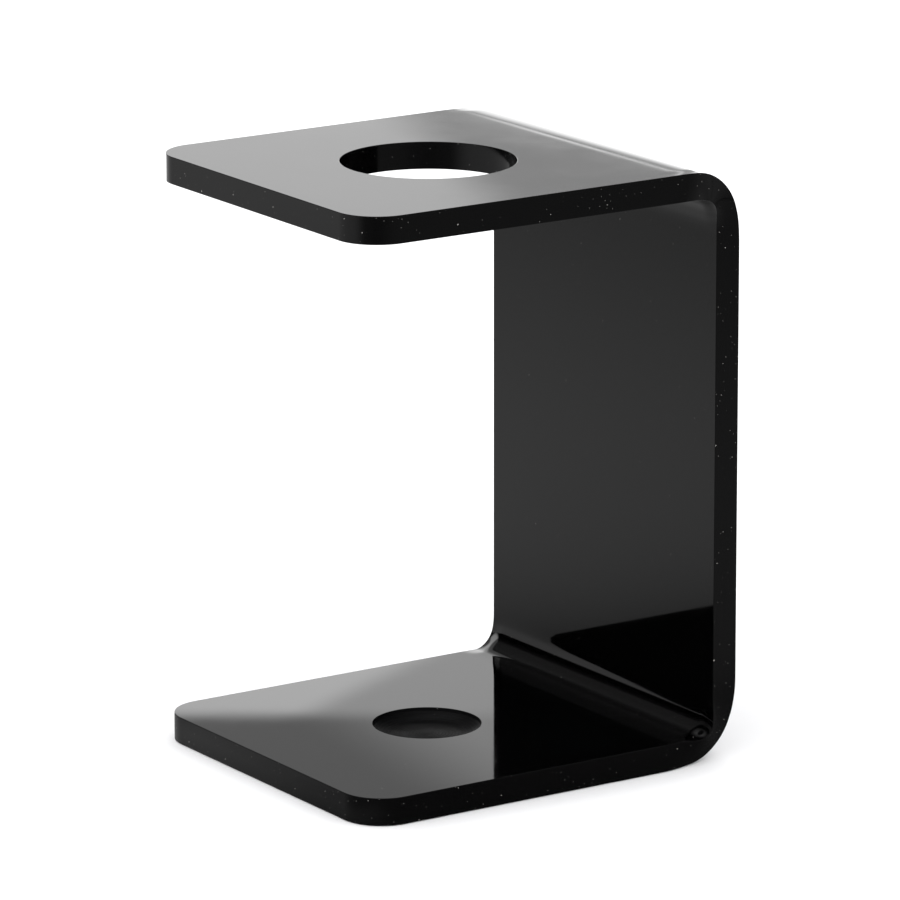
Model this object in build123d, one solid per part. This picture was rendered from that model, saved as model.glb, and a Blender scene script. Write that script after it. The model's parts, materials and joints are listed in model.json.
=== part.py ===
from build123d import *

import math
import os

# A hair dryer holder made from one sheet of black acrylic: cut to shape, bored through near one
# end, pocketed near the other, and line-bent twice into a C that stands on its own base.
# Millimetres. +Z is up and +Y runs from the free front edges to the back panel. The origin is on
# the surface that the base stands on, under the middle of the part's bounding box.

# Driving dimensions
SHEET_T = 8.0  # thickness of the sheet
WIDTH = 113.0  # between the two cut side edges, along X
HEIGHT = 174.0  # underside of the base to the top face
TOP_REACH = 126.2  # front edge of the top plate to the back face
BASE_REACH = 125.5  # front edge of the base to the back face
BEND_R_IN = 6.5  # inside radius of both bends
CORNER_R = 12.5  # the four free corners, in plan
HOLE_R = 25.2  # through hole that the dryer hangs in
HOLE_TO_BACK = 68.0  # hole axis to the back face
POCKET_R = 15.7  # rim of the blind pocket in the base
POCKET_FLOOR_R = 10.6  # flat floor inside the cove
POCKET_DEPTH = 3.0
POCKET_WALL = 1.0  # straight wall above the cove
POCKET_TO_BACK = 69.0  # pocket axis to the back face
SWELL = 1.3  # how far the squeezed inside of a bend stands out of the side edge
SWELL_REACH = 7.0  # radius over which the swelling fades out

# Sizes that follow from them
BEND_R_OUT = BEND_R_IN + SHEET_T
BACK_Y = TOP_REACH / 2
INNER_Y = BACK_Y - SHEET_T
UNDER_TOP_Z = HEIGHT - SHEET_T
BEND_MID_INSET = BEND_R_IN * (1 - math.sqrt(0.5))  # inside face at mid-bend, in from each plane
HOLE_Y = BACK_Y - HOLE_TO_BACK
POCKET_Y = BACK_Y - POCKET_TO_BACK
CUT_CLEARANCE = 1.0  # how far a cutter runs past the face that it cuts


def at_y(shape, y):
    """The corner points of a YZ outline drawn in XY, where the outline's x is the part's Y."""
    return [v for v in shape.vertices() if abs(v.X - y) < SHEET_T / 4]


def side_profile():
    """The C of the bent sheet as seen from its side, a face in the YZ plane."""
    top_front = BACK_Y - TOP_REACH
    base_front = BACK_Y - BASE_REACH
    outline = Polyline(
        (top_front, HEIGHT),
        (BACK_Y, HEIGHT),
        (BACK_Y, 0),
        (base_front, 0),
        (base_front, SHEET_T),
        (INNER_Y, SHEET_T),
        (INNER_Y, UNDER_TOP_Z),
        (top_front, UNDER_TOP_Z),
        close=True,
    )
    face = make_face(outline)
    face = fillet(at_y(face, BACK_Y), BEND_R_OUT)
    face = fillet(at_y(face, INNER_Y), BEND_R_IN)
    return Plane.YZ * face


def c_prism():
    """The side profile drawn out along X, past both side edges."""
    return extrude(side_profile(), amount=WIDTH / 2 + 2 * SWELL, both=True)


def round_free_corners(sheet):
    """Rounds the two front corners of the top plate and of the base."""
    upright = sheet.edges().filter_by(Axis.Z)
    front = [e for e in upright if e.center().Y < BACK_Y - BASE_REACH + CUT_CLEARANCE]
    return fillet(front, CORNER_R)


def width_envelope():
    """A block as wide as the sheet, with low domes where the inside of each bend bulges out."""
    cap_r = (SWELL_REACH**2 + SWELL**2) / (2 * SWELL)
    block = Pos(0, 0, HEIGHT / 2) * Box(WIDTH, 3 * BACK_Y, HEIGHT + 2 * BEND_R_OUT)
    for side in (-1, 1):
        for z in (SHEET_T + BEND_MID_INSET, UNDER_TOP_Z - BEND_MID_INSET):
            centre_x = side * (WIDTH / 2 + SWELL - cap_r)
            ball = Rot(Z=90) * Sphere(cap_r)  # its seam turned away from the cap
            block += Pos(centre_x, INNER_Y - BEND_MID_INSET, z) * ball
    return block


def hole_cutter():
    """The straight through hole in the top plate."""
    length = SHEET_T + 2 * CUT_CLEARANCE
    return Pos(0, HOLE_Y, HEIGHT - SHEET_T / 2) * Cylinder(HOLE_R, length)


def pocket_cutter():
    """The blind pocket: a short straight wall, a cove and a flat floor, turned about its axis."""
    run = POCKET_R - POCKET_FLOOR_R
    drop = POCKET_DEPTH - POCKET_WALL
    cove_r = (run**2 + drop**2) / (2 * drop)
    floor_z = SHEET_T - POCKET_DEPTH
    mouth_z = SHEET_T + CUT_CLEARANCE
    sweep = math.degrees(math.asin(run / cove_r))
    outline = (
        Line((0, floor_z), (POCKET_FLOOR_R, floor_z))
        + CenterArc((POCKET_FLOOR_R, floor_z + cove_r), cove_r, -90, sweep)
        + Polyline((POCKET_R, floor_z + drop), (POCKET_R, mouth_z), (0, mouth_z), (0, floor_z))
    )
    return Pos(0, POCKET_Y, 0) * revolve(Plane.XZ * make_face(outline), Axis.Z)


def bent_sheet():
    """The whole holder: one sheet, one solid."""
    sheet = round_free_corners(c_prism() & width_envelope())
    sheet -= hole_cutter()
    sheet -= pocket_cutter()
    sheet.label = "bent_sheet"
    sheet.color = Color(0.02, 0.02, 0.02)
    return sheet


os.makedirs("parts", exist_ok=True)
export_step(bent_sheet(), "parts/bent_sheet.step")
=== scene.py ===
import json
import math

import bpy
import numpy as np
from mathutils import Matrix, Vector, geometry


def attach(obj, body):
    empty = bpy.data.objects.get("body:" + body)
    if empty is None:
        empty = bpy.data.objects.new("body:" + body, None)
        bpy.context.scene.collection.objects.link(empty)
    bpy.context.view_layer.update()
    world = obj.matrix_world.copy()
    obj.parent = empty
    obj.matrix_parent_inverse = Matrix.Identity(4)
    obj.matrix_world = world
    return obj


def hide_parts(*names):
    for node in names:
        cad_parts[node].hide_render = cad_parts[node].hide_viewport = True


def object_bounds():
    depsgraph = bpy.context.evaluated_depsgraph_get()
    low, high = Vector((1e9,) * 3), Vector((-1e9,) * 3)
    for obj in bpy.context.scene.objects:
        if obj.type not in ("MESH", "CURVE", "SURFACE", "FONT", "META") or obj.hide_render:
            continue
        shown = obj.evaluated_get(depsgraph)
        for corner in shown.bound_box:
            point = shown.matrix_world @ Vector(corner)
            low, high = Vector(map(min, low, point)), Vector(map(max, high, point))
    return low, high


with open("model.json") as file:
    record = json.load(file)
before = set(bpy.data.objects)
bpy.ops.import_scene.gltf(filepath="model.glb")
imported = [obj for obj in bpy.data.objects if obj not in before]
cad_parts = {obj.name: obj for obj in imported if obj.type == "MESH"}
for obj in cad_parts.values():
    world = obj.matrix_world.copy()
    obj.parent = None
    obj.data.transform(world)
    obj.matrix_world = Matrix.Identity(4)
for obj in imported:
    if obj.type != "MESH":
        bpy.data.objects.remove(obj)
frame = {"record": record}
CAD_LO, CAD_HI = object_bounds()
MOUNTS = {m["name"]: m for m in frame["record"]["mounts"]}

# ---------------------------------------------------------------- the sheet's sizes, in mm
THICK = 8.0
HALF_W = 56.5  # middle of the sheet to a cut side edge
CORNER_R = 12.5
CORNER_CUT = 6.35  # how far both bends' outside stays in from a sharp corner
# the plates ease into their bends: length, and degrees turned in it
TOP_LEAD = (9.5, 4.0)
BASE_LEAD = (6.5, 2.6)
# the panel's own lead-ins: distance along the panel, and degrees turned
PANEL_LEAD = (0.0, 1.8, 3.4, 4.5, 5.1, 5.8, 7.0)
PANEL_TURN = (0.0, 1.0, 3.0, 6.4, 8.8, 10.3, 11.6)
MARGIN = 4.0  # divided part of each flat beside a bend
ARRIS = 0.16  # the broken edge between a broad face and a cut edge
BASE_SHORT = 0.7  # how much shorter the base is than the top plate
FRONT_Y = CAD_LO.y * 1000
BACK_Y = CAD_HI.y * 1000
TOP_Z = CAD_HI.z * 1000

HOLE_R = MOUNTS["top_hole"]["dims"]["r_mm"]
HOLE_Y = MOUNTS["top_hole"]["pos_m"][1] * 1000
POCKET_R = MOUNTS["base_pocket"]["dims"]["r_mm"]
POCKET_Y = MOUNTS["base_pocket"]["pos_m"][1] * 1000
POCKET_WALL = MOUNTS["base_pocket"]["dims"]["length_mm"]
POCKET_DEPTH = 3.0
POCKET_FLOOR_R = 10.6
POCKET_FLOOR_RINGS = (POCKET_FLOOR_R, 8.0, 5.0, 2.5, 1.0)
HOLE_SIDES, POCKET_SIDES = 160, 120
CORNER_STEPS, RIM_STEPS, COVE_STEPS = 24, 3, 12
LEAD_STEPS, ARC_STEPS, PANEL_STEPS = 12, 36, 22

# the edges' deformation where the sheet is bent
SWELL = 1.25  # inside of the bend, outwards
NECK_TOP, NECK_BASE = 1.1, 2.8  # outside of the bends, inwards
SWELL_RUN = 13.2  # from the middle of a bend, along the sheet
NECK_RUN = 18.2
CURL = 0.8  # the inside face near its edges, towards the outside
DIP = 0.12  # the outside face near its edges, towards the inside
CURL_BAND = 6.0  # how far in from a side edge the curl and the dip reach
SPREAD_BAND = 12.0  # the same for the swelling and the pull-in


def smooth(t):
    t = np.clip(t, 0.0, 1.0)
    return t * t * (3 - 2 * t)


def hump(s, centre, half):
    d = np.clip(np.abs(s - centre) / half, 0, 1)
    return np.cos(np.pi / 2 * d) ** 2


def bend_curve(radius, lead, lead_turn):
    """Middle line of a quarter bend, from plate to panel: length, place (along, across) and turn."""
    end_turn = math.radians(PANEL_TURN[-1])
    core = (math.pi / 2 - math.radians(lead_turn) - end_turn) * radius
    total = lead + core + PANEL_LEAD[-1]
    t = np.linspace(0, total, 30001)
    into = math.radians(lead_turn) * np.clip(t / lead, 0, 1) ** 2
    left = np.radians(np.interp(total - t, PANEL_LEAD, PANEL_TURN))
    turn = into + np.clip((t - lead) / radius, 0, core / radius) + end_turn - left
    mid = (turn[1:] + turn[:-1]) / 2
    along = np.concatenate([[0], np.cumsum(np.cos(mid))]) * t[1]
    across = np.concatenate([[0], np.cumsum(np.sin(mid))]) * t[1]
    return t, along, across, turn


def corner_cut(curve):
    """How far the outside face stays in from the sharp corner, along the corner's bisector."""
    t, along, across, turn = curve
    short = along[-1] + THICK / 2 * (1 - np.sin(turn)) - along
    deep = across + THICK / 2 * (1 - np.cos(turn))
    return float(np.min(short + deep)) / math.sqrt(2)


def fitted_curve(lead):
    """The bend whose middle radius gives the outside corner its cut."""
    lo, hi = 4.5, 14.0
    for _ in range(40):
        mid = (lo + hi) / 2
        lo, hi = (mid, hi) if corner_cut(bend_curve(mid, *lead)) < CORNER_CUT else (lo, mid)
    return bend_curve(lo, *lead)


def along_bend(curve, t1):
    """Place (along, across) and turn at length t1, straight on beyond both ends."""
    t, along, across, turn = curve
    a = np.interp(t1, t, along) + np.minimum(t1, 0)
    d = np.interp(t1, t, across) + np.maximum(t1 - t[-1], 0)
    return a, d, np.interp(t1, t, turn)


TOP_BEND, BASE_BEND = fitted_curve(TOP_LEAD), fitted_curve(BASE_LEAD)
TOP_BEND_LEN, BASE_BEND_LEN = TOP_BEND[0][-1], BASE_BEND[0][-1]
# where the flat plates end, on the middle line
TOP_Y = BACK_Y - THICK / 2 - TOP_BEND[1][-1]
BASE_Y = BACK_Y - THICK / 2 - BASE_BEND[1][-1]

# lengths along the flat blank: top plate, bend, panel, bend, base
S_TURN1 = TOP_Y - FRONT_Y
S_PANEL = S_TURN1 + TOP_BEND_LEN
S_TURN2 = S_PANEL + TOP_Z - THICK - TOP_BEND[2][-1] - BASE_BEND[2][-1]
S_BASE = S_TURN2 + BASE_BEND_LEN
S_MIDDLE = (S_PANEL + S_TURN2) / 2
S_END = S_BASE + BASE_Y - FRONT_Y - BASE_SHORT
NECK = {S_TURN1 + TOP_BEND_LEN / 2: NECK_TOP, S_TURN2 + BASE_BEND_LEN / 2: NECK_BASE}


def spine(s):
    """Point on the inside face and outward direction in YZ, for each length s along the blank."""
    upper = s < S_MIDDLE
    top_a, top_d, top_turn = along_bend(TOP_BEND, s - S_TURN1)
    base_a, base_d, base_turn = along_bend(BASE_BEND, S_BASE - s)
    y = np.where(upper, TOP_Y + top_a, BASE_Y + base_a)
    z = np.where(upper, TOP_Z - THICK / 2 - top_d, THICK / 2 + base_d)
    ny = np.where(upper, np.sin(top_turn), np.sin(base_turn))
    nz = np.where(upper, np.cos(top_turn), -np.cos(base_turn))
    return y - THICK / 2 * ny, z - THICK / 2 * nz, ny, nz


def bent(p):
    """Flat blank (u across, s along, w from inside face to outside face) to the bent part."""
    u, s, w = p[:, 0], p[:, 1], p[:, 2]
    out = np.clip(w / THICK, 0, 1)
    shift, curl = np.zeros_like(u), np.zeros_like(u)
    near = smooth((np.abs(u) - (HALF_W - CURL_BAND)) / CURL_BAND)
    for mid, neck in NECK.items():
        inner = hump(s, mid, SWELL_RUN)
        outer = hump(s, mid, NECK_RUN)
        shift += SWELL * inner * (1 - out) - neck * outer * out
        curl += near * (CURL * inner * (1 - out) ** 1.5 - DIP * outer * out)
    spread = smooth((np.abs(u) - (HALF_W - SPREAD_BAND)) / SPREAD_BAND)
    y, z, ny, nz = spine(s)
    depth = w + curl
    return np.stack([u + np.sign(u) * spread * shift, y + depth * ny, z + depth * nz], 1)


# ---------------------------------------------------------------- building the blank
WELD = 2000  # corners that agree to 1/2000 mm are one vertex


class Blank:
    """Faces of the flat blank, each corner with a place, a normal and a material number."""

    def __init__(self):
        self.index, self.places, self.faces = {}, [], []

    def vertex(self, p):
        key = tuple(int(round(c * WELD)) for c in p)
        if key not in self.index:
            self.index[key] = len(self.places)
            self.places.append([float(c) for c in p])
        return self.index[key]

    def face(self, points, normals, material):
        ids = [self.vertex(p) for p in points]
        keep = [i for i in range(len(ids)) if ids[i] != ids[i - 1]]
        if len(keep) < 3:
            return
        ids = [ids[i] for i in keep]
        pts = [np.array(points[i], float) for i in keep]
        nrm = [np.array(normals[i], float) for i in keep]
        spans = [q - pts[0] for q in pts]
        area = sum(np.cross(spans[i], spans[(i + 1) % len(spans)]) for i in range(len(spans)))
        if np.dot(area, sum(nrm)) < 0:
            ids, nrm = ids[::-1], nrm[::-1]
        self.faces.append((ids, nrm, material))

    def patch(self, grid, material, closed=False):
        """grid[i][j] = (place, normal); quads between neighbours."""
        rows = len(grid)
        for i in range(rows if closed else rows - 1):
            a, b = grid[i], grid[(i + 1) % rows]
            for j in range(len(a) - 1):
                quad = [a[j], b[j], b[j + 1], a[j + 1]]
                self.face([q[0] for q in quad], [q[1] for q in quad], material)


FACE, EDGE, MILLED = 0, 1, 2


def edge_profile(steps=4, mids=(0.1, 0.25, 0.4, 0.5, 0.6, 0.75, 0.9)):
    """(inset, w, outward part, w part) over the thickness, with both arrises rounded."""
    lower, upper = [], []
    for k in range(steps + 1):
        sa, ca = math.sin(math.pi / 2 * k / steps), math.cos(math.pi / 2 * k / steps)
        lower.append((ARRIS * (1 - sa), ARRIS * (1 - ca), sa, -ca))
        upper.append((ARRIS * (1 - ca), THICK - ARRIS * (1 - sa), ca, sa))
    return lower + [(0.0, THICK * m, 1.0, 0.0) for m in mids] + upper


def bend_stations(lead, length):
    """Cross lines of one bend, from its plate to the panel, as lengths from its start."""
    end = PANEL_LEAD[-1]
    steps = [-MARGIN, -MARGIN / 2] + [lead * i / LEAD_STEPS for i in range(LEAD_STEPS)]
    steps += [lead + (length - lead - end) * i / ARC_STEPS for i in range(ARC_STEPS)]
    steps += [length - end + end * i / PANEL_STEPS for i in range(PANEL_STEPS + 1)]
    return steps + [length + MARGIN / 2, length + MARGIN]


def s_stations():
    upper = [S_TURN1 + d for d in bend_stations(TOP_LEAD[0], TOP_BEND_LEN)]
    lower = [S_BASE - d for d in bend_stations(BASE_LEAD[0], BASE_BEND_LEN)]
    return upper + lower[::-1]


def u_stations():
    # closer together towards the side edges, where the bends deform them
    half = [0, 11, 22, 33, 44.5, 46, 47.5, 49]
    half += [50, 50.8, 51.6, 52.4, 53.2, 54, 54.8, 55.6, HALF_W - ARRIS]
    return [-u for u in half[:0:-1]] + half


def outline(stations):
    """Closed loop of (u, s, outward u, outward s) round the blank, with rounded free corners."""
    loop = []

    def corner(cu, cs, start):
        for k in range(CORNER_STEPS + 1):
            a = math.radians(start + 90 * k / CORNER_STEPS)
            ca, sa = math.cos(a), math.sin(a)
            loop.append((cu + CORNER_R * ca, cs + CORNER_R * sa, ca, sa))

    corner(-HALF_W + CORNER_R, CORNER_R, 180)
    corner(HALF_W - CORNER_R, CORNER_R, 270)
    loop.extend((HALF_W, s, 1.0, 0.0) for s in stations)
    corner(HALF_W - CORNER_R, S_END - CORNER_R, 0)
    corner(-HALF_W + CORNER_R, S_END - CORNER_R, 90)
    loop.extend((-HALF_W, s, -1.0, 0.0) for s in reversed(stations))
    return loop


def ring_rows(centre, profile, sides):
    """A profile of (radius, w, radial normal, w normal) turned round a centre line."""
    rows = []
    for k in range(sides):
        a = 2 * math.pi * k / sides
        cu, cs = math.cos(a), math.sin(a)
        row = [((r * cu, centre + r * cs, w), (nr * cu, nr * cs, nw)) for r, w, nr, nw in profile]
        rows.append(row)
    return rows


def round_hole(blank, centre):
    section = edge_profile(3, (0.3, 0.5, 0.7))
    profile = [(HOLE_R + inset, w, -n, nw) for inset, w, n, nw in section]
    blank.patch(ring_rows(centre, profile, HOLE_SIDES), EDGE, closed=True)


def pocket_profile():
    """Runs of (radius, depth, radial normal, depth normal) from the rim to the middle."""
    rim = []
    for k in range(RIM_STEPS + 1):
        a = math.pi / 2 * k / RIM_STEPS
        sa, ca = math.sin(a), math.cos(a)
        rim.append((POCKET_R + ARRIS * (1 - sa), ARRIS * (1 - ca), -sa, -ca))
    rim.append((POCKET_R, POCKET_WALL, -1.0, 0.0))
    run, drop = POCKET_R - POCKET_FLOOR_R, POCKET_DEPTH - POCKET_WALL
    cove_r = (run**2 + drop**2) / (2 * drop)
    sweep = math.asin(run / cove_r)
    cove = []
    for k in range(COVE_STEPS + 1):
        a = sweep * (1 - k / COVE_STEPS)
        sa, ca = math.sin(a), math.cos(a)
        cove.append((POCKET_FLOOR_R + cove_r * sa, POCKET_DEPTH - cove_r * (1 - ca), -sa, -ca))
    floor = [(r, POCKET_DEPTH, 0.0, -1.0) for r in POCKET_FLOOR_RINGS]
    return rim, cove, floor


def pocket(blank, centre):
    runs = pocket_profile()
    for profile in runs:
        blank.patch(ring_rows(centre, profile, POCKET_SIDES), MILLED, closed=True)
    r, d = runs[2][-1][:2]
    ring = [(u, s, d) for u, s in circle(centre, r, POCKET_SIDES)]
    for k in range(POCKET_SIDES):
        tri = [(0.0, centre, d), ring[k], ring[(k + 1) % POCKET_SIDES]]
        blank.face(tri, [(0, 0, -1)] * 3, MILLED)


def plate(blank, border, hole, w):
    """Triangles of one flat plate, inside its border loop and outside its hole, if it has one."""
    points, edges = [], []
    for loop in (border, hole):
        first = len(points)
        points += [Vector(p) for p in loop]
        edges += [(first + i, first + (i + 1) % len(loop)) for i in range(len(loop))]
    exact = [p for loop in (border, hole) for p in loop]
    out = geometry.delaunay_2d_cdt(points, edges, [], 0, 1e-6)
    verts, tris = [exact[given[0]] for given in out[3]], out[2]

    def inside(poly, p):
        hit = False
        for i in range(len(poly)):
            (x0, y0), (x1, y1) = poly[i - 1], poly[i]
            if (y0 > p[1]) != (y1 > p[1]) and p[0] < (x1 - x0) * (p[1] - y0) / (y1 - y0) + x0:
                hit = not hit
        return hit

    side = -1.0 if w < THICK / 2 else 1.0
    for tri in tris:
        mid = [sum(verts[i][k] for i in tri) / 3 for k in (0, 1)]
        if inside(border, mid) and not (hole and inside(hole, mid)):
            blank.face([(*verts[i], w) for i in tri], [(0, 0, side)] * 3, FACE)


def circle(centre, radius, sides):
    turns = [2 * math.pi * k / sides for k in range(sides)]
    return [(radius * math.cos(a), centre + radius * math.sin(a)) for a in turns]


def make_blank():
    blank = Blank()
    stations, across = s_stations(), u_stations()
    loop = outline(stations)
    section = edge_profile()
    rows = [
        [((u - nu * inset, s - ns * inset, w), (nu * n, ns * n, nw)) for inset, w, n, nw in section]
        for u, s, nu, ns in loop
    ]
    blank.patch(rows, EDGE, closed=True)
    for w, side in ((0.0, -1.0), (THICK, 1.0)):
        blank.patch([[((u, s, w), (0, 0, side)) for u in across] for s in stations], FACE)
    # the loop goes round the top plate first and the base after it, so both borders are in order
    first, last = stations[0], stations[-1]
    inset_loop = [(u - nu * ARRIS, s - ns * ARRIS) for u, s, nu, ns in loop]
    top = [p for p in inset_loop if p[1] < first - 1e-6] + [(u, first) for u in reversed(across)]
    base = [(u, last) for u in across] + [p for p in inset_loop if p[1] > last + 1e-6]
    s_hole = HOLE_Y - FRONT_Y
    s_pocket = S_BASE + BASE_Y - POCKET_Y
    for w in (0.0, THICK):
        plate(blank, top, circle(s_hole, HOLE_R + ARRIS, HOLE_SIDES), w)
    plate(blank, base, circle(s_pocket, POCKET_R + ARRIS, POCKET_SIDES), 0.0)
    plate(blank, base, [], THICK)
    round_hole(blank, s_hole)
    pocket(blank, s_pocket)
    return blank


def bent_normals(places, normals):
    """Normals of the flat blank carried through the bend, by the bend's own slopes."""
    nudge = 0.01
    columns = []
    for axis in range(3):
        move = np.zeros(3)
        move[axis] = nudge
        columns.append((bent(places + move) - bent(places - move)) / (2 * nudge))
    slope = np.stack(columns, 2)
    turned = np.einsum("nij,nj->ni", np.transpose(np.linalg.inv(slope), (0, 2, 1)), normals)
    return turned / np.linalg.norm(turned, axis=1, keepdims=True)


def make_sheet(materials):
    blank = make_blank()
    flat = np.array(blank.places)
    co = bent(flat) / 1000
    mesh = bpy.data.meshes.new("bent_sheet")
    mesh.from_pydata(co.tolist(), [], [ids for ids, _, _ in blank.faces])
    mesh.polygons.foreach_set("material_index", [m for _, _, m in blank.faces])
    mesh.polygons.foreach_set("use_smooth", [True] * len(blank.faces))
    for m in materials:
        mesh.materials.append(m)
    corner_places = np.array([flat[i] for ids, _, _ in blank.faces for i in ids])
    corner_normals = np.array([n for _, nrm, _ in blank.faces for n in nrm])
    mesh.validate(verbose=False)
    mesh.update()
    mesh.normals_split_custom_set(bent_normals(corner_places, corner_normals).tolist())
    sheet = bpy.data.objects.new("bent_acrylic_sheet", mesh)
    bpy.context.scene.collection.objects.link(sheet)
    return sheet


# ---------------------------------------------------------------- materials
ACRYLIC_IOR = 1.49
DUST_COLOUR = (0.35, 0.34, 0.32, 1)
# dust specks: cells per metre and size in a cell, coarse then fine; the fine ones are weaker
COARSE_DUST, FINE_DUST = (260.0, 0.05), (620.0, 0.07)
FINE_DUST_WEIGHT = 0.55


def node(tree, kind, inputs=(), **settings):
    n = tree.nodes.new(kind)
    for k, v in settings.items():
        setattr(n, k, v)
    for k, v in dict(inputs).items():
        if isinstance(v, bpy.types.NodeSocket):
            tree.links.new(v, n.inputs[k])
        else:
            n.inputs[k].default_value = v
    return n


def math_node(tree, op, a, b):
    return node(tree, "ShaderNodeMath", {0: a, 1: b}, operation=op).outputs[0]


def ramp(tree, value, lo, hi, out_lo=0.0, out_hi=1.0):
    ends = {"Value": value, "From Min": lo, "From Max": hi, "To Min": out_lo, "To Max": out_hi}
    n = node(tree, "ShaderNodeMapRange", ends, interpolation_type="SMOOTHSTEP")
    return n.outputs["Result"]


def new_material(name):
    m = bpy.data.materials.new(name)
    m.use_nodes = True
    tree = m.node_tree
    shader = tree.nodes["Principled BSDF"]
    shader.inputs["IOR"].default_value = ACRYLIC_IOR
    coords = node(tree, "ShaderNodeTexCoord").outputs["Object"]
    return m, tree, shader, coords


def specks(tree, coords, scale, size, share):
    """1 on small sparse dust specks, 0 elsewhere."""
    warp = node(tree, "ShaderNodeTexNoise", {"Vector": coords, "Scale": scale * 6, "Detail": 1.0})
    shrink = {0: warp.outputs["Color"], "Scale": 0.175 / scale}
    moved = node(tree, "ShaderNodeVectorMath", shrink, operation="SCALE").outputs[0]
    place = node(tree, "ShaderNodeVectorMath", {0: coords, 1: moved}, operation="ADD").outputs[0]
    cells = node(tree, "ShaderNodeTexVoronoi", {"Vector": place, "Scale": scale}, feature="F1")
    dot = ramp(tree, cells.outputs["Distance"], size, size * 0.5)
    pick = node(tree, "ShaderNodeSeparateColor", {0: cells.outputs["Color"]}).outputs[0]
    return math_node(tree, "MULTIPLY", dot, math_node(tree, "LESS_THAN", pick, share))


def acrylic(name, rough, dust, dust_share, tone):
    """Black acrylic of one finish: a faint uneven film and sparse dust over a near-black body."""
    m, tree, shader, coords = new_material(name)
    coarse = specks(tree, coords, *COARSE_DUST, dust_share)
    fine = math_node(tree, "MULTIPLY", specks(tree, coords, *FINE_DUST, dust_share), FINE_DUST_WEIGHT)
    mask = math_node(tree, "MULTIPLY", math_node(tree, "MAXIMUM", coarse, fine), dust)
    ends = {0: mask, 6: (tone, tone, tone * 1.1, 1), 7: DUST_COLOUR}
    colour = node(tree, "ShaderNodeMix", ends, data_type="RGBA")
    tree.links.new(colour.outputs[2], shader.inputs["Base Color"])
    clouds = {"Vector": coords, "Scale": 38.0, "Detail": 4.0, "Roughness": 0.6}
    haze = node(tree, "ShaderNodeTexNoise", clouds)
    film = ramp(tree, haze.outputs["Fac"], 0.35, 0.75, rough, rough * 1.7)
    shiny = math_node(tree, "ADD", film, math_node(tree, "MULTIPLY", mask, 0.5))
    tree.links.new(shiny, shader.inputs["Roughness"])
    return m, tree, shader, coords


def bump(tree, shader, texture, strength, distance):
    inputs = {"Height": texture.outputs["Fac"], "Strength": strength, "Distance": distance}
    tree.links.new(node(tree, "ShaderNodeBump", inputs).outputs[0], shader.inputs["Normal"])


def face_material():
    m, tree, shader, coords = acrylic("acrylic_polished_face", 0.035, 0.3, 0.4, 0.0006)
    peel = node(tree, "ShaderNodeTexNoise", {"Vector": coords, "Scale": 55.0, "Detail": 1.0})
    bump(tree, shader, peel, 0.05, 0.0001)
    return m


def edge_material():
    m, tree, shader, coords = acrylic("acrylic_cut_edge", 0.09, 1.0, 1.0, 0.0008)
    grain = node(tree, "ShaderNodeTexNoise", {"Vector": coords, "Scale": 700.0, "Detail": 2.0})
    bump(tree, shader, grain, 0.12, 0.00005)
    return m


def milled_material():
    m, tree, shader, coords = acrylic("acrylic_milled_floor", 0.42, 0.5, 0.8, 0.004)
    shader.inputs["Specular IOR Level"].default_value = 0.15
    middle = {0: coords, 1: (0.0, POCKET_Y / 1000, THICK / 1000)}
    centre = node(tree, "ShaderNodeVectorMath", middle, operation="SUBTRACT").outputs[0]
    waves = {"Vector": centre, "Scale": 330.0, "Distortion": 0.6, "Detail": 1.0}
    rings = node(tree, "ShaderNodeTexWave", waves, wave_type="RINGS", rings_direction="Z")
    bump(tree, shader, rings, 0.4, 0.0001)
    return m


# ---------------------------------------------------------------- stage
MM = 0.001
# the camera was fitted to the outline of the object
SENSOR, LENS = 36.0, 274.71
CAMERA_PLACE = (1.5916, -1.0486, 0.5775)
CAMERA_RIGHT = (0.55131, 0.83429, -0.00154)
CAMERA_BACK = (0.80833, -0.53370, 0.24849)
# on the floor: the way the camera looks, and to its right
VIEW_DIR = -np.array(CAMERA_BACK[:2]) / np.linalg.norm(CAMERA_BACK[:2])
VIEW_SIDE = np.array([VIEW_DIR[1], -VIEW_DIR[0]])

WORLD_STRENGTH = 1.65
FLOOR_COLOUR = (0.86, 0.86, 0.87, 1)
FLOOR_HALF, FLOOR_Z, SHEEN_Z = 12.0, -0.0002, -0.0004
# distances of the cards from the object, in m, and where the left one stands
NEAR_WALL, FAR_WALL, LEFT_WALL, OVERHEAD_Z = 0.2, 2.5, 2.5, 1.9
LEFT_WALL_TURN = math.radians(-165)
# name, place and direction of the other walls, and the run of their stations in mm
ROOM_WALLS = (
    ("stage_wall_right", (2.6, 0, 0), (0, 1, 0), (-3200, 3201)),
    ("stage_wall_front", (0, -2.9, 0), (1, 0, 0), (-1700, 2601)),
    ("stage_wall_back", (0, 3.3, 0), (1, 0, 0), (-700, 2601)),
)
# the far wall's brightness below its dark line, by height in mm
FAR_LOW_Z = (460, 530, 568, 592, 613, 636)
FAR_LOW_LEVEL = (3.2, 2.5, 2.15, 1.6, 1.25, 0.78)


def glow_material():
    m = bpy.data.materials.new("stage_glow")
    m.use_nodes = True
    tree = m.node_tree
    tree.nodes.clear()
    level = node(tree, "ShaderNodeAttribute", attribute_name="level")
    light = node(tree, "ShaderNodeEmission", {"Color": level.outputs["Color"], "Strength": 1.0})
    node(tree, "ShaderNodeOutputMaterial", {"Surface": light.outputs[0]})
    m.cycles.emission_sampling = "NONE"
    return m


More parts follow.
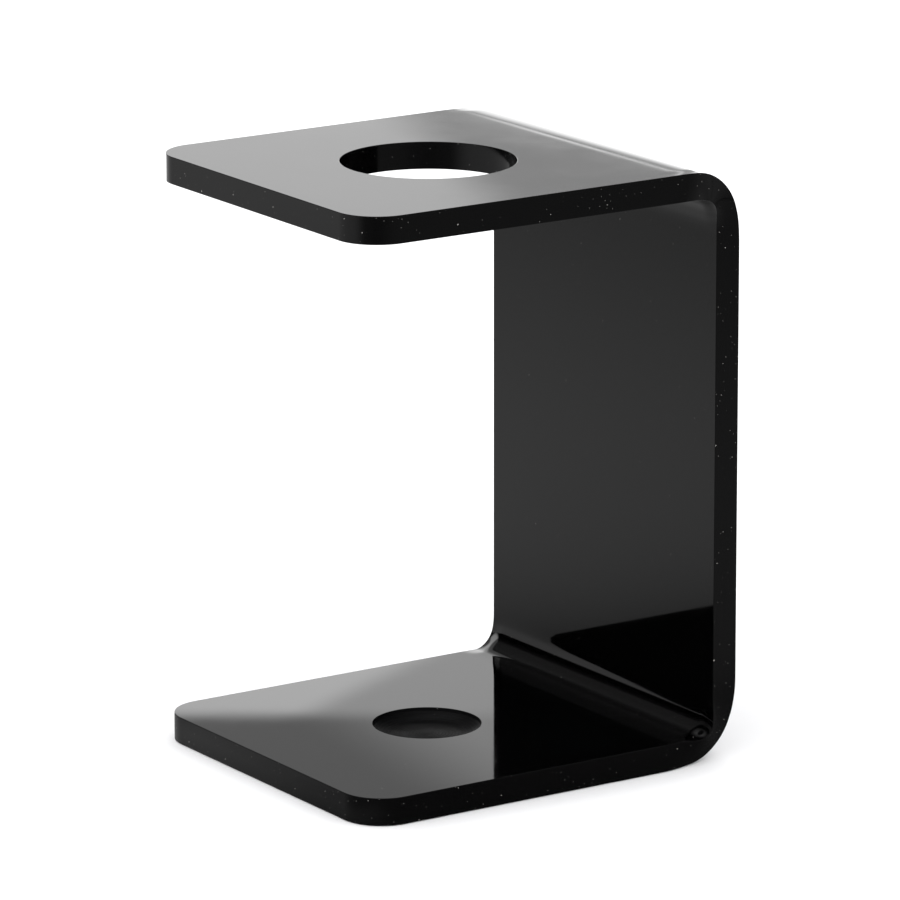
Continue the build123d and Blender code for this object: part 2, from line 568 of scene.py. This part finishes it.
def glow(name, material, origin, axis_a, axis_b, a_values, b_values, level):
    """A card that only reflections see; level(a, b) gives its brightness at a and b, in mm."""
    a, b = np.meshgrid(np.array(a_values, float), np.array(b_values, float), indexing="ij")
    co = np.array(origin) + a[..., None] * np.array(axis_a) + b[..., None] * np.array(axis_b)
    rows, cols = a.shape
    ids = np.arange(rows * cols).reshape(rows, cols)
    quads = np.stack([ids[:-1, :-1], ids[1:, :-1], ids[1:, 1:], ids[:-1, 1:]], -1).reshape(-1, 4)
    mesh = bpy.data.meshes.new(name)
    mesh.from_pydata(co.reshape(-1, 3).tolist(), [], quads.tolist())
    value = np.repeat(np.asarray(level(a, b), float)[..., None], 3, 2)
    colour = np.concatenate([value, np.ones(value.shape[:2] + (1,))], 2)
    layer = mesh.attributes.new("level", "FLOAT_COLOR", "POINT")
    layer.data.foreach_set("color", colour.astype(np.float32).ravel())
    mesh.materials.append(material)
    card = bpy.data.objects.new(name, mesh)
    bpy.context.scene.collection.objects.link(card)
    card.visible_camera = False
    card.visible_diffuse = False
    card.visible_shadow = False
    card.visible_transmission = False


def wall(name, material, origin, along, a_values, b_values, level):
    """An upright card: a runs along it, b is the height."""
    across, up = np.array(along) * MM, np.array([0, 0, 1.0]) * MM
    glow(name, material, origin, across, up, a_values, b_values, level)


def level_card(name, material, z, values, level):
    """A card that lies flat at height z."""
    glow(name, material, (0, 0, z), (MM, 0, 0), (0, MM, 0), values, values, level)


def spaced(*runs):
    """Stations from runs of (first, last, spacing)."""
    return np.concatenate([np.arange(*run) for run in runs])


def step(t, lo, hi):
    return smooth((t - lo) / (hi - lo))


def near_wall_level(h, z):
    """The low bright wall close behind: brighter on the left, dim above a soft edge."""
    low = 1.8 - 0.6 * step(h - (62 - z) * 2.0, -46, -28)
    dim = 0.44 + 0.5 * step(h - (z - 74) * 1.45, -42, 18)
    level = low + (dim - low) * step(z, 63.5, 69.0)
    return level * (1 - step(z, 102, 118)) * (1 - step(np.abs(h + 30), 120, 170))


def far_wall_level(h, z):
    """The far wall: blown out below, a dark line, a bright line, then a soft card on the left."""
    upper = 1.31 - 0.62 * step(h - (z - 693) * 0.95, -34, 18)
    lower = np.interp(z + 0.4 * (h - 130), FAR_LOW_Z, FAR_LOW_LEVEL)
    level = lower + (upper - lower) * step(z, 632, 652)
    line = 671 + (h - 80) * 0.11
    level = level + 1.8 * np.exp(-(((z - line) / 10.0) ** 2)) * step(h, -20, 70)
    level = level * (1 - step(z, 1000, 1900))
    return level * (1 - step(np.abs(h), 1100, 2400))


def left_wall_level(h, z):
    """The room in front on the left: dark up to a clear line, then dim."""
    level = (0.025 + 0.095 * step(z, 1080, 1180)) * step(z, 700, 900)
    return level * (1 - step(np.abs(h), 1500, 2400))


def room_level(h, z):
    """The rest of the room: an even soft wall, dimmer towards the floor and the ceiling."""
    level = (0.22 + 0.2 * step(z, 100, 900)) * (1 - step(z, 1300, 2500))
    return level * (0.8 + 0.2 * np.cos(h / 700))


def overhead_level(x, y):
    """A soft light overhead, which only steep views see in the plates."""
    return 0.95 * (1 - step(np.hypot(x, y), 500, 2100))


def floor_level(x, y):
    """The floor as the gloss sees it: lit on the left, dim on the right, dark towards the camera."""
    r = np.hypot(x, y) + 1e-6
    ahead = (x * VIEW_DIR[0] + y * VIEW_DIR[1]) / r
    left = -(x * VIEW_SIDE[0] + y * VIEW_SIDE[1]) / r
    # lit part: painted shade of the object on the floor, darker close to it, and a little lighter far
    # out
    lit = (0.6 + 0.0008 * np.clip(y, -350, 60)) * (1 - 0.62 * np.exp(-np.clip(r - 70, 0, None) / 95))
    lit = lit + 0.11 * step(r, 640, 780)
    # dim part
    dim = 0.05 + 0.13 * step(r, 60, 220) - 0.06 * step(r, 350, 850)
    level = 0.04 + (dim - 0.04) * step(-left, -0.2, 0.8)
    behind = step(-ahead, 0.0, 0.7) * (1 - step(left, 0.45, 0.9))
    level = level + (lit - level) * step(left, -0.45, 0.75) * (1 - 0.85 * behind)
    # a band in front of the base, which its edge mirrors: painted shade on the floor next to the
    # base, deeper on the right
    edge = np.exp(-(((y + 70) / 9) ** 2)) * (1 - step(np.abs(x), 50, 80))
    level = level + (0.42 - 0.26 * step(x, -70, 45) - level) * edge
    # blown out straight ahead
    return level + (2.2 - level) * step(ahead, 0.8, 0.95) * step(r, 260, 420)


def cards():
    """What the gloss mirrors. The near and far walls stand square to the camera."""
    mat = glow_material()
    ahead, side = np.append(VIEW_DIR, 0), np.append(VIEW_SIDE, 0)
    near_grid = np.linspace(-200, 140, 171), np.linspace(0, 118, 119)
    wall("stage_wall_near", mat, ahead * NEAR_WALL, side, *near_grid, near_wall_level)
    far_a = spaced((-2400, -300, 60), (-300, 300, 4), (300, 2401, 60))
    far_b = spaced((0, 460, 40), (460, 760, 3), (760, 1920, 40))
    wall("stage_wall_far", mat, ahead * FAR_WALL, side, far_a, far_b, far_wall_level)
    ct, st = math.cos(LEFT_WALL_TURN), math.sin(LEFT_WALL_TURN)
    left_grid = np.arange(-2400, 2401, 100), np.arange(0, 3201, 20)
    place = np.array([ct, st, 0]) * LEFT_WALL
    wall("stage_wall_left", mat, place, (st, -ct, 0), *left_grid, left_wall_level)
    for name, origin, along, run in ROOM_WALLS:
        grid = np.arange(*run, 100), np.arange(0, 2601, 100)
        wall(name, mat, origin, along, *grid, room_level)
    level_card("stage_overhead", mat, OVERHEAD_Z, np.arange(-2200, 2201, 100), overhead_level)
    floor_run = spaced((-2400, -200, 40), (-200, 200, 5), (200, 2401, 40))
    level_card("stage_floor_sheen", mat, SHEEN_Z, floor_run, floor_level)


def white_floor():
    mesh = bpy.data.meshes.new("stage_floor")
    r = FLOOR_HALF
    mesh.from_pydata([(-r, -r, 0), (r, -r, 0), (r, r, 0), (-r, r, 0)], [], [(0, 1, 2, 3)])
    floor = bpy.data.objects.new("stage_floor", mesh)
    bpy.context.scene.collection.objects.link(floor)
    floor.location.z = FLOOR_Z
    m = bpy.data.materials.new("stage_floor_white")
    m.use_nodes = True
    tree = m.node_tree
    tree.nodes.clear()
    white = node(tree, "ShaderNodeBsdfDiffuse", {"Color": FLOOR_COLOUR})
    node(tree, "ShaderNodeOutputMaterial", {"Surface": white.outputs[0]})
    mesh.materials.append(m)
    floor.visible_glossy = False


def white_world():
    world = bpy.data.worlds.new("studio")
    bpy.context.scene.world = world
    world.use_nodes = True
    bg = world.node_tree.nodes["Background"]
    bg.inputs["Color"].default_value = (1, 1, 1, 1)
    bg.inputs["Strength"].default_value = WORLD_STRENGTH
    world.cycles_visibility.glossy = False


def camera():
    cam = bpy.data.cameras.new("photo_view")
    cam.sensor_width = SENSOR
    cam.lens = LENS
    cam.clip_start, cam.clip_end = 0.05, 50.0
    right = Vector(CAMERA_RIGHT).normalized()
    back = Vector(CAMERA_BACK).normalized()
    up = back.cross(right).normalized()
    right = up.cross(back)
    turn = Matrix((right, up, back)).transposed()
    obj = bpy.data.objects.new("photo_view", cam)
    bpy.context.scene.collection.objects.link(obj)
    obj.matrix_world = Matrix.Translation(Vector(CAMERA_PLACE)) @ turn.to_4x4()
    bpy.context.scene.camera = obj


camera()
sheet = make_sheet([face_material(), edge_material(), milled_material()])
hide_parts("bent_sheet")
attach(sheet, "root")
cards()
white_floor()
white_world()
bpy.context.scene.view_settings.view_transform = "Standard"
bpy.context.scene.view_settings.look = "None"
